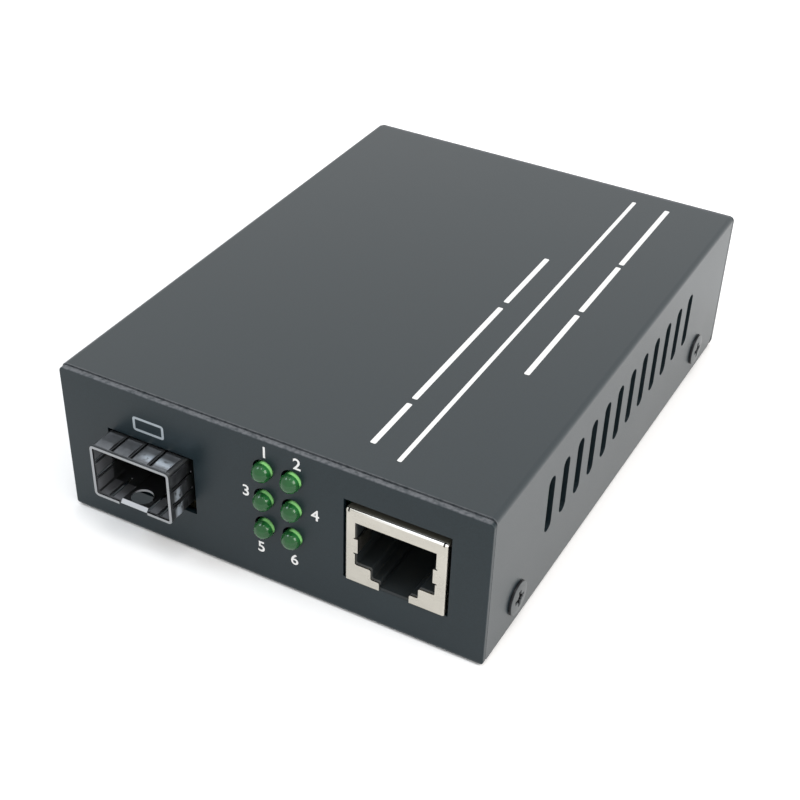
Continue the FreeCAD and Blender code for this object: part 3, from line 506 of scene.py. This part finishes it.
def lathe(profile, turns):
    """Profile of (radius, height) rows turned about Z: point = (r cos a, r sin a, h).

    The first and last rows lie on the axis and become single poles.
    """
    profile = np.asarray(profile, dtype=float)
    rings = profile[1:-1]
    angle = np.arange(turns) * 2 * np.pi / turns
    x = rings[:, :1] * np.cos(angle)
    y = rings[:, :1] * np.sin(angle)
    z = np.repeat(rings[:, 1:], turns, axis=1)
    body = np.stack([x, y, z], axis=-1).reshape(-1, 3)
    points = np.vstack([[0, 0, profile[0, 1]], body, [0, 0, profile[-1, 1]]])
    index = 1 + np.arange(len(rings) * turns).reshape(len(rings), turns)
    after = np.roll(index, -1, axis=1)
    quads = np.stack([index[:-1], after[:-1], after[1:], index[1:]], axis=-1).reshape(-1, 4)
    first = np.zeros(turns, dtype=int)
    last = np.full(turns, len(points) - 1)
    start_cap = np.stack([first, after[0], index[0]], axis=-1)
    end_cap = np.stack([last, index[-1], after[-1]], axis=-1)
    return points, [quads, start_cap, end_cap]


def ring_faces(rings, turns):
    """Faces over a pole, which is the first point, and rings around it: quads, and a fan at the pole."""
    index = 1 + np.arange(rings * turns).reshape(rings, turns)
    after = np.roll(index, -1, axis=1)
    quads = np.stack([index[:-1], index[1:], after[1:], after[:-1]], axis=-1).reshape(-1, 4)
    fan = np.stack([np.zeros(turns, dtype=int), index[0], after[0]], axis=-1)
    return [quads, fan]


def joined(shapes):
    """Several (points, faces) shapes as one."""
    points = []
    faces = []
    count = 0
    for shape_points, shape_faces in shapes:
        points.append(shape_points)
        faces += [np.asarray(block) + count for block in shape_faces]
        count += len(shape_points)
    return np.vstack(points), faces


def turned(shape, matrix):
    """Shape with its points moved by a 4 x 4 matrix."""
    points, faces = shape
    matrix = np.array(matrix)
    return points @ matrix[:3, :3].T + matrix[:3, 3], faces


def facing(direction, place):
    """Matrix that turns +Z to a direction and moves the origin to a place."""
    turn = Vector((0, 0, 1)).rotation_difference(Vector(direction)).to_matrix().to_4x4()
    turn.translation = place
    return turn


def on_panel(x, z, lift):
    """Matrix that stands a flat XY mark up on the front panel, its origin at x from the left and z up."""
    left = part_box("base_chassis")[0][0]
    stand = Matrix.Rotation(math.radians(90), 4, "X")
    stand.translation = (left + x * MM, PANEL - lift, z * MM)
    return stand


def rounded_outline(half, corner, turns):
    """Rounded rectangle: each point of a circle of the corner radius, moved out to its own corner."""
    angle = (np.arange(turns) + 0.5) * 2 * np.pi / turns
    way = np.stack([np.cos(angle), np.sin(angle)], axis=-1)
    return np.sign(way) * (np.asarray(half) - corner) + way * corner


def rounded_slab(x_span, y_span, corner, rings=4, turns=48):
    """Flat patch with rounded corners: its outline drawn in towards its middle, ring by ring."""
    half = np.array([x_span[1] - x_span[0], y_span[1] - y_span[0]]) / 2
    middle = np.array([x_span[1] + x_span[0], y_span[1] + y_span[0]]) / 2
    outline = rounded_outline(half, corner, turns)
    share = np.linspace(1 / rings, 1, rings)[:, None, None]
    points = np.vstack([middle, (outline[None] * share).reshape(-1, 2) + middle])
    return np.column_stack([points, np.zeros(len(points))]), ring_faces(rings, turns)


def rounded_ring(half, corner, line, turns=48):
    """Flat frame of a line's width: the outline of a rounded rectangle joined to one set in by that width."""
    outer = rounded_outline(half, corner, turns)
    inner = rounded_outline(np.asarray(half) - line, max(corner - line, 0), turns)
    points = np.column_stack([np.vstack([inner, outer]), np.zeros(2 * turns)])
    index = np.arange(2 * turns).reshape(2, turns)
    after = np.roll(index, -1, axis=1)
    return points, [np.stack([index[0], index[1], after[1], after[0]], axis=-1)]


def numeral(text, height):
    """Flat mesh of a plain number in the built-in font, centred on X, as points and faces."""
    curve = bpy.data.curves.new("number", "FONT")
    curve.body = text
    curve.size = height / NUMBER_SHARE
    curve.offset = height * NUMBER_WEIGHT
    curve.align_x = "CENTER"
    holder = bpy.data.objects.new("number", curve)
    bpy.context.scene.collection.objects.link(holder)
    mesh = bpy.data.meshes.new_from_object(holder.evaluated_get(bpy.context.evaluated_depsgraph_get()))
    points = np.empty(len(mesh.vertices) * 3)
    mesh.vertices.foreach_get("co", points)
    faces = [np.array([list(polygon.vertices)]) for polygon in mesh.polygons]
    bpy.data.objects.remove(holder)
    bpy.data.curves.remove(curve)
    bpy.data.meshes.remove(mesh)
    return points.reshape(-1, 3), faces


def screw_head(head_r, head_height, rim, recess):
    """Domed head with a cross recess, as a height over the disc, closed underneath.

    Height = rim + crown (1 - (r / R)^2), less the recess depth inside two crossed bars with sloping walls.
    The rim is rounded off past a share of the radius, by a share of its height.
    """
    turns, rings = 96, 40
    round_from, round_off = 0.96, 0.35
    centre_share = 0.9
    r = np.linspace(0, head_r, rings)[1:, None]
    angle = np.arange(turns)[None] * 2 * np.pi / turns
    u = r * np.cos(angle)
    v = r * np.sin(angle)
    width, reach, depth, slope = recess
    across = np.minimum(np.abs(u), np.abs(v))
    along = np.maximum(np.abs(u), np.abs(v))
    bars = np.clip((width / 2 - across) / slope + 0.5, 0, 1)
    ends = np.clip((reach - along) / (2 * slope) + 0.5, 0, 1)
    centre = np.clip((width * centre_share - along) / slope + 0.5, 0, 1)
    edge = 1 - np.clip((r / head_r - round_from) / (1 - round_from), 0, 1) ** 2 * round_off
    dome = rim * edge + (head_height - rim) * (1 - (r / head_r) ** 2)
    top = dome - depth * np.maximum(bars * ends, centre)
    ring = np.stack([u[-1], v[-1], np.zeros(turns)], axis=-1)[None]
    body = np.vstack([np.stack([u, v, top], axis=-1), ring])
    points = np.vstack([[[0, 0, head_height - depth]], body.reshape(-1, 3)])
    back = len(points) - 1 - np.arange(turns)
    return points, ring_faces(rings, turns) + [back[None]]


def lamp_profile(body_r, flange_r, flange, length):
    """Rows of (radius, height) from the back of the flange to the tip of the dome, a quarter circle."""
    steps = 18
    edge = 0.08 * MM
    arc = np.linspace(0, np.pi / 2, steps)
    dome = np.column_stack([body_r * np.cos(arc), length - body_r + body_r * np.sin(arc)])
    dome[-1, 0] = 0
    back = [
        (0, 0),
        (flange_r - edge, 0),
        (flange_r, edge),
        (flange_r, flange - edge),
        (flange_r - edge, flange),
        (body_r, flange),
    ]
    return np.vstack([back, dome])


# Settings

def colour_setting(name, description, default):
    return FloatVectorProperty(name=name, description=description, subtype="COLOR", size=3, default=default)


def length_setting(name, description, default):
    return FloatProperty(name=name, description=description, default=default * MM, unit="LENGTH", precision=6)


def share_setting(name, description, default):
    return FloatProperty(name=name, description=description, default=default, min=0, max=1, subtype="FACTOR")


class CaseLook(bpy.types.PropertyGroup):
    """Finish of the folded case, its screws and its print."""

    coat_colour: colour_setting("Coat", "Colour of the powder coat", (0.006, 0.0125, 0.016))
    coat_roughness: share_setting("Coat roughness", "Mean roughness of the coat", 0.34)
    grain_size: length_setting("Grain", "Size of the coat's grain", 0.22)
    grain_depth: length_setting("Grain depth", "Depth of the coat's grain", 0.008)
    cloud_size: length_setting("Clouds", "Size of the broad changes in tone", 18)
    # The pale edges of the coat are partly wear and partly a painted highlight
    wear_and_highlight_colour: colour_setting("Wear", "Colour of the rubbed edges", (0.11, 0.115, 0.125))
    wear_and_highlight_width: length_setting("Wear width", "Width of the rubbed edges", 0.2)
    ink_colour: colour_setting("Ink", "Colour of the print", (0.68, 0.68, 0.675))
    port_ink_colour: colour_setting("Port ink", "Colour of the mark over the cage", (0.3, 0.34, 0.37))
    ink_lift: length_setting("Ink lift", "Height of the print over the coat", 0.005)
    number_height: length_setting("Numbers", "Height of the numbers by the lamps", 1.9)
    # A painted shade on the rims and recesses of the screws
    screw_shade_colour: colour_setting("Screws", "Colour of the screws' rims and recesses", (0.025, 0.026, 0.028))
    recess_width: length_setting("Recess width", "Width of the screws' cross recess", 0.62)
    recess_reach: length_setting("Recess reach", "Half the length of the cross recess", 1.35)
    recess_depth: length_setting("Recess depth", "Depth of the cross recess", 0.5)


class PortLook(bpy.types.PropertyGroup):
    """Finishes of the two ports and the power inlet."""

    shield_colour: colour_setting("Jack shield", "Nickel of the jack's shield", (0.487, 0.466, 0.416))
    # A painted highlight on the top edge of the shield's face
    shield_highlight_colour: colour_setting("Shield edge", "Shining top edge of the shield's face", (0.95, 0.94, 0.92))
    # A painted shade on the shield's top behind the panel
    shield_top_shade_colour: colour_setting("Shield top", "Top of the shield, behind the panel", (0.06, 0.058, 0.044))
    cage_colour: colour_setting("Cage", "Sheet of the transceiver cage", (0.44, 0.455, 0.475))
    collar_colour: colour_setting("Collar", "Front edge of the cage's sprung collar", (0.27, 0.28, 0.29))
    finger_colour: colour_setting("Fingers", "Dull outer fingers of the collar", (0.17, 0.178, 0.19))
    inner_colour: colour_setting("Inner fingers", "Fingers inside the cage's mouth", (0.38, 0.39, 0.41))
    # A painted highlight on the crests of the fingers
    crest_highlight_colour: colour_setting("Rubbed", "Crests of the fingers where they are rubbed", (0.72, 0.78, 0.85))
    moulding_colour: colour_setting("Mouldings", "Plastic of the other mouldings", (0.005, 0.006, 0.0065))
    jack_colour: colour_setting("Jack moulding", "Black plastic of the RJ45 jack", (0.011, 0.0145, 0.016))
    # A painted light on the front edge of the jack's opening
    lit_lip_colour: colour_setting("Lip", "Scuffed front edge of the jack's housing", (0.076, 0.078, 0.076))
    contact_colour: colour_setting("Contacts", "Gold flash on the contacts", (0.8, 0.58, 0.24))


class LampLook(bpy.types.PropertyGroup):
    """Shape and tint of the indicator lamps."""

    lens_colour: colour_setting("Lens", "Tint of the dome", (0.007, 0.064, 0.014))
    # The crescent and its colour are painted light
    crescent_light_colour: colour_setting("Crescent", "Tint where the lens leaves the panel", (0.235, 0.58, 0.19))
    glow_reach: length_setting("Crescent reach", "Width of the bright crescent in front of the panel", 0.5)
    glow_way: FloatVectorProperty(
        name="Crescent way", description="The way the bright crescent faces", subtype="DIRECTION", size=3,
        default=(0.66, 0.0, 0.75))
    lens_roughness: share_setting("Roughness", "Roughness of the lens", 0.1)
    body_radius: length_setting("Body radius", "Radius of the lens behind its dome", 1.5)
    flange: length_setting("Flange", "Thickness of the lamp's flange", 1.0)


class BoardLook(bpy.types.PropertyGroup):
    """Finishes of the circuit board and what it carries."""

    mask_colour: colour_setting("Solder mask", "Colour of the board's mask", (0.015, 0.11, 0.045))
    laminate_colour: colour_setting("Laminate", "Colour of the board's cut edge", (0.10, 0.09, 0.05))
    chip_colour: colour_setting("Chips", "Colour of the moulded chips", (0.018, 0.018, 0.02))
    tin_colour: colour_setting("Tin", "Colour of the tinned leads", (0.66, 0.66, 0.65))
    brass_colour: colour_setting("Posts", "Brass of the posts", (0.66, 0.48, 0.19))
    can_colour: colour_setting("Cans", "Aluminium of the capacitors", (0.6, 0.62, 0.66))
    ceramic_colour: colour_setting("Ceramic", "Ceramic of the small capacitors", (0.4, 0.27, 0.15))


class StageLook(bpy.types.PropertyGroup):
    """Floor, light and camera."""

    floor_tone: share_setting("Floor", "Tone of the paper floor", 0.92)
    sky_strength: FloatProperty(
        name="Surround", description="Strength of the white surround", default=1.12, min=0)
    window_strength: FloatProperty(
        name="Windows", description="Brightness of the soft windows, over the surround", default=7.0, min=0)
    window_distance: FloatProperty(
        name="Window distance", description="From the part to each window", default=0.7, unit="LENGTH")
    camera_place: FloatVectorProperty(
        name="Camera", description="Place of the camera", subtype="TRANSLATION", unit="LENGTH", size=3,
        default=(0.09106, -0.18228, 0.14819))
    camera_turn: FloatVectorProperty(
        name="Turn", description="Turn of the camera", subtype="EULER", size=3,
        default=tuple(math.radians(angle) for angle in (51.443, -1.601, 28.654)))
    camera_lens: FloatProperty(
        name="Lens", description="Focal length in millimetres on a 36 mm sensor", default=65.65)
    camera_shift: FloatVectorProperty(
        name="Shift", description="Shift of the frame, as a share of its width", size=2,
        default=(-0.0014, 0.0997))


# Pieces

class CaseOperator(bpy.types.Operator):
    """Coats the cover and the base"""

    bl_idname = "converter.case"
    bl_label = "Case"

    def execute(self, context):
        look = context.scene.converter_case
        low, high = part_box("top_cover")
        cover_edges = ((Y, low[1]), (Y, high[1]))
        dress("top_cover", powder_coat("cover_coat", look, cover_edges, worn_and_highlighted=0.6, gloss=0.58))
        base_edges = ((Z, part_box("base_chassis")[1][2]),)
        dress("base_chassis", powder_coat("base_coat", look, base_edges, worn_and_highlighted=0.9, gloss=0.24))
        return {"FINISHED"}


class CoverScrewsOperator(bpy.types.Operator):
    """Makes the four cross-head screws of the cover"""

    bl_idname = "converter.cover_screws"
    bl_label = "Cover screws"

    def execute(self, context):
        look = context.scene.converter_case
        low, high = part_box("cover_screws")
        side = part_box("top_cover")[1][0]
        height = high[0] - side
        rim = height - CROWN_HEIGHT
        # Below the coat, the rim and the recess are painted dark as shade
        finish = screw_coat_and_shade("screw_black", look, side + rim - COAT_REACH)
        head_r = (high[2] - low[2]) / 2
        recess = (look.recess_width, look.recess_reach, look.recess_depth, RECESS_SLOPE)
        head = screw_head(head_r, height, rim, recess)
        shank = [
            (0, -SHANK_LENGTH),
            (SHANK_RADIUS - SHANK_CHAMFER, -SHANK_LENGTH),
            (SHANK_RADIUS, SHANK_CHAMFER - SHANK_LENGTH),
            (SHANK_RADIUS, 0),
            (0, 0),
        ]
        screw = joined([head, lathe(shank, turns=32)])
        screws = []
        for way in (-1, 1):
            for y in (low[1] + head_r, high[1] - head_r):
                place = (way * side, y, (low[2] + high[2]) / 2)
                screws.append(turned(screw, facing((way, 0, 0), place)))
        points, faces = joined(screws)
        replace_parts(add_piece("cross_head_screws", points, faces, finish), "cover_screws")
        return {"FINISHED"}


class PrintOperator(bpy.types.Operator):
    """Prints the rule and the plain marks on the cover, and the marks and numbers on the front panel"""

    bl_idname = "converter.print_marks"
    bl_label = "Print"

    def execute(self, context):
        look = context.scene.converter_case
        ink = printed_ink("white_ink", look.ink_colour)
        lift = look.ink_lift
        low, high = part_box("top_cover")
        bars = []
        for x_span, y_span in COVER_MARKS:
            across = [low[0] + x * MM for x in x_span]
            along = [PANEL + y * MM for y in y_span]
            bar = rounded_slab(across, along, BAR_CORNER)
            bars.append(turned(bar, Matrix.Translation((0, 0, high[2] + lift))))
        points, faces = joined(bars)
        add_piece("cover_marks", points, faces, ink)
        numbers = []
        for text, x, z in LAMP_NUMBERS:
            numbers.append(turned(numeral(text, look.number_height), on_panel(x, z, lift)))
        points, faces = joined(numbers)
        add_piece("lamp_numbers", points, faces, ink)
        (x0, x1), (z0, z1) = PORT_MARK
        half = ((x1 - x0) / 2 * MM, (z1 - z0) / 2 * MM)
        ring = rounded_ring(half, PORT_MARK_CORNER, PORT_MARK_LINE)
        points, faces = turned(ring, on_panel((x0 + x1) / 2, (z0 + z1) / 2, lift))
        add_piece("port_mark", points, faces, printed_ink("port_ink", look.port_ink_colour))
        return {"FINISHED"}


class TransceiverPortOperator(bpy.types.Operator):
    """Finishes the transceiver cage, its collar and its connector"""

    bl_idname = "converter.transceiver_port"
    bl_label = "Transceiver port"

    def execute(self, context):
        look = context.scene.converter_ports
        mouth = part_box("sfp_cage")[0][1]
        # The cage is painted darker behind its rim: a painted shade inside the mouth
        inside = (mouth + RIM_DEPTH, INNER_SHADE_SHARE)
        dress("sfp_cage", sheet_metal("cage_sheet", look.cage_colour, roughness=0.38, painted_light_and_shade=inside))
        dress("sfp_spring_collar", spring_sheet("collar_sheet", look, *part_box("sfp_spring_collar")))
        dress("sfp_connector", moulding("connector_black", look.moulding_colour, roughness=0.5))
        dress("sfp_contacts", sheet_metal("connector_gold", look.contact_colour, roughness=0.25))
        return {"FINISHED"}


class CopperPortOperator(bpy.types.Operator):
    """Finishes the RJ45 jack"""

    bl_idname = "converter.copper_port"
    bl_label = "RJ45 jack"

    def execute(self, context):
        look = context.scene.converter_ports
        dress("rj45_shield", shield_plate("shield_nickel", look, *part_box("rj45_shield")))
        # The lip is a painted light on the front of the housing
        lip_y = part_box("rj45_housing")[0][1] + LIP_DEPTH
        lip_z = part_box("circuit_board")[1][2] + LIP_START
        lip = (lip_y, lip_z, look.lit_lip_colour)
        dress("rj45_housing", moulding("jack_black", look.jack_colour, roughness=0.6, lip=lip))
        dress("rj45_contacts", sheet_metal("jack_gold", look.contact_colour, roughness=0.22))
        return {"FINISHED"}


class LampsOperator(bpy.types.Operator):
    """Makes the domed lamps and finishes their leads and holder"""

    bl_idname = "converter.lamps"
    bl_label = "Lamps"

    def execute(self, context):
        look = context.scene.converter_lamps
        tin = context.scene.converter_board.tin_colour
        black = context.scene.converter_ports.moulding_colour
        epoxy = lamp_epoxy("green_epoxy", look)
        dress("led_leads", sheet_metal("lamp_leads_tin", tin, roughness=0.3))
        dress("led_holder", moulding("holder_black", black, roughness=0.55))
        for node in LAMPS:
            low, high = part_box(node)
            flange_r = (high[0] - low[0]) / 2
            place = ((low[0] + high[0]) / 2, high[1], (low[2] + high[2]) / 2)
            profile = lamp_profile(look.body_radius, flange_r, look.flange, high[1] - low[1])
            points, faces = turned(lathe(profile, turns=64), facing((0, -1, 0), place))
            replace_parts(add_piece(node + "_lens", points, faces, epoxy), node)
        return {"FINISHED"}


class PowerInletOperator(bpy.types.Operator):
    """Finishes the power inlet"""

    bl_idname = "converter.power_inlet"
    bl_label = "Power inlet"

    def execute(self, context):
        look = context.scene.converter_ports
        tin = context.scene.converter_board.tin_colour
        dress("dc_jack_housing", moulding("inlet_black", look.moulding_colour, roughness=0.45))
        dress("dc_jack_pin", sheet_metal("inlet_pin_tin", tin, roughness=0.2))
        dress("dc_jack_spring", sheet_metal("inlet_spring_tin", tin, roughness=0.25))
        return {"FINISHED"}


class BoardOperator(bpy.types.Operator):
    """Finishes the circuit board and the parts on it"""

    bl_idname = "converter.board"
    bl_label = "Circuit board"

    def execute(self, context):
        look = context.scene.converter_board
        dress("circuit_board", solder_mask("green_solder_mask", look))
        chip = moulding("chip_epoxy", look.chip_colour, roughness=0.5)
        for node in ("magnetics", "converter_chip", "regulator", "power_inductor"):
            dress(node, chip)
        tin = sheet_metal("tinned_leads", look.tin_colour, roughness=0.3)
        for node in ("magnetics_leads", "converter_chip_leads", "regulator_tab", "board_screws", "crystal"):
            dress(node, tin)
        brass = sheet_metal("turned_brass", look.brass_colour, roughness=0.28, grain_axis=X)
        dress("board_standoffs", brass)
        aluminium = sheet_metal("capacitor_aluminium", look.can_colour, roughness=0.3, grain_axis=Z)
        dress("bulk_capacitors", aluminium)
        dress("chip_resistors", moulding("resistor_glaze", look.chip_colour, roughness=0.3))
        dress("chip_capacitors", moulding("ceramic_tan", look.ceramic_colour, roughness=0.4))
        return {"FINISHED"}


class StageOperator(bpy.types.Operator):
    """Lays the floor, sets the light and places the camera"""

    bl_idname = "converter.stage"
    bl_label = "Stage"

    def execute(self, context):
        scene = context.scene
        look = scene.converter_stage
        line = np.linspace(-FLOOR_HALF, FLOOR_HALF, FLOOR_POINTS)
        u, v = np.meshgrid(line, line, indexing="ij")
        points = np.stack([u, v, np.zeros_like(u)], axis=-1).reshape(-1, 3)
        index = np.arange(u.size).reshape(u.shape)
        corners = [index[:-1, :-1], index[1:, :-1], index[1:, 1:], index[:-1, 1:]]
        quads = np.stack(corners, axis=-1).reshape(-1, 4)
        mesh = bpy.data.meshes.new("paper_floor")
        mesh.from_pydata(points.tolist(), [], quads.tolist())
        mesh.materials.append(floor_finish("pale_paper", look.floor_tone))
        floor = bpy.data.objects.new("paper_floor", mesh)
        scene.collection.objects.link(floor)

        world = bpy.data.worlds.new("white_surround")
        world.use_nodes = True
        surround = world.node_tree.nodes["Background"]
        surround.inputs["Color"].default_value = (1, 1, 1, 1)
        surround.inputs["Strength"].default_value = look.sky_strength
        scene.world = world
        scene.view_settings.view_transform = "Standard"

        for name, way, width, colour in WINDOWS:
            lamp = bpy.data.lights.new(name, "AREA")
            lamp.size = width
            lamp.color = colour
            lamp.energy = look.window_strength * math.pi * width ** 2
            window = bpy.data.objects.new(name, lamp)
            window.location = Vector(way) * look.window_distance
            window.rotation_euler = Vector(way).to_track_quat("Z", "Y").to_euler()
            scene.collection.objects.link(window)

        camera = bpy.data.cameras.new("photo_view")
        camera.sensor_width = SENSOR_WIDTH
        camera.lens = look.camera_lens
        camera.shift_x, camera.shift_y = look.camera_shift
        camera.clip_start = NEAREST_SIGHT
        eye = bpy.data.objects.new("photo_view", camera)
        eye.location = look.camera_place
        eye.rotation_euler = look.camera_turn
        scene.collection.objects.link(eye)
        scene.camera = eye
        return {"FINISHED"}


class ConverterPanel(bpy.types.Panel):
    """Lists the converter's settings and pieces"""

    bl_idname = "VIEW3D_PT_converter"
    bl_label = "Media converter"
    bl_space_type = "VIEW_3D"
    bl_region_type = "UI"
    bl_category = "Converter"

    def draw(self, context):
        for operator in OPERATORS:
            self.layout.operator(operator.bl_idname)
        for key in LOOKS:
            look = getattr(context.scene, key)
            box = self.layout.box()
            for name in look.__annotations__:
                box.prop(look, name)


LOOKS = {
    "converter_case": CaseLook,
    "converter_ports": PortLook,
    "converter_lamps": LampLook,
    "converter_board": BoardLook,
    "converter_stage": StageLook,
}
OPERATORS = (
    StageOperator,
    CaseOperator,
    CoverScrewsOperator,
    PrintOperator,
    TransceiverPortOperator,
    CopperPortOperator,
    LampsOperator,
    PowerInletOperator,
    BoardOperator,
)


def register():
    for key, look in LOOKS.items():
        bpy.utils.register_class(look)
        setattr(bpy.types.Scene, key, PointerProperty(type=look))
    for operator in OPERATORS:
        bpy.utils.register_class(operator)
    bpy.utils.register_class(ConverterPanel)


def unregister():
    bpy.utils.unregister_class(ConverterPanel)
    for operator in reversed(OPERATORS):
        bpy.utils.unregister_class(operator)
    for key, look in LOOKS.items():
        delattr(bpy.types.Scene, key)
        bpy.utils.unregister_class(look)


def main():
    """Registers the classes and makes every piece."""
    register()
    for operator in OPERATORS:
        group, name = operator.bl_idname.split(".")
        getattr(getattr(bpy.ops, group), name)()


if __name__ == "__main__":
    main()
